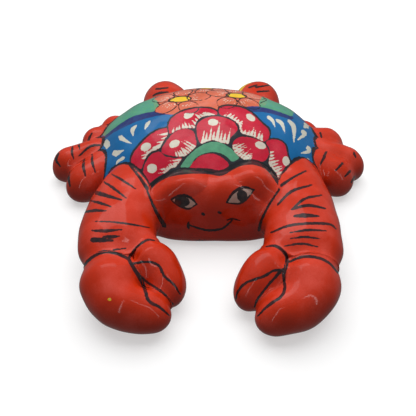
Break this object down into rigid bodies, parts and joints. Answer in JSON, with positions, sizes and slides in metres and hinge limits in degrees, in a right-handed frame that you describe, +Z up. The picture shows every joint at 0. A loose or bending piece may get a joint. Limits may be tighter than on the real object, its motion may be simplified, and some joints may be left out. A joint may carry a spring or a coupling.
{
  "type": "crab figurine",
  "caption": "Hand-painted glazed earthenware crab with a domed flowered shell, a smiling face, curved claws and stubby legs, standing flat on its underside.",
  "frame": {"origin": "on the floor plane, at the centre of the whole figure's footprint", "axes": "+Z up; -Y the way the face and claws point; +X to the right as seen from in front of the face"},
  "size_m": [0.2811, 0.3231, 0.066],
  "materials": {
    "painted_glaze": "glossy clear glaze over a hand-painted floral pattern in crimson, blue, green, orange and black",
    "red_glaze": "glossy red-orange glaze with black brush strokes",
    "bare_clay": "unglazed fired clay, smooth and dry"
  },
  "bodies": {
    "root": {"carapace": "painted_glaze", "base_plate": "bare_clay", "head": "red_glaze", "left_arm": "red_glaze", "right_arm": "red_glaze", "left_claw_finger": "red_glaze", "left_claw_thumb": "red_glaze", "right_claw_finger": "red_glaze", "right_claw_thumb": "red_glaze", "left_leg_1": "red_glaze", "left_leg_2": "red_glaze", "left_leg_3": "red_glaze", "left_leg_4": "red_glaze", "right_leg_1": "red_glaze", "right_leg_2": "red_glaze", "right_leg_3": "red_glaze", "right_leg_4": "red_glaze", "left_paddle": "red_glaze", "right_paddle": "red_glaze"}
  },
  "joints": []
}
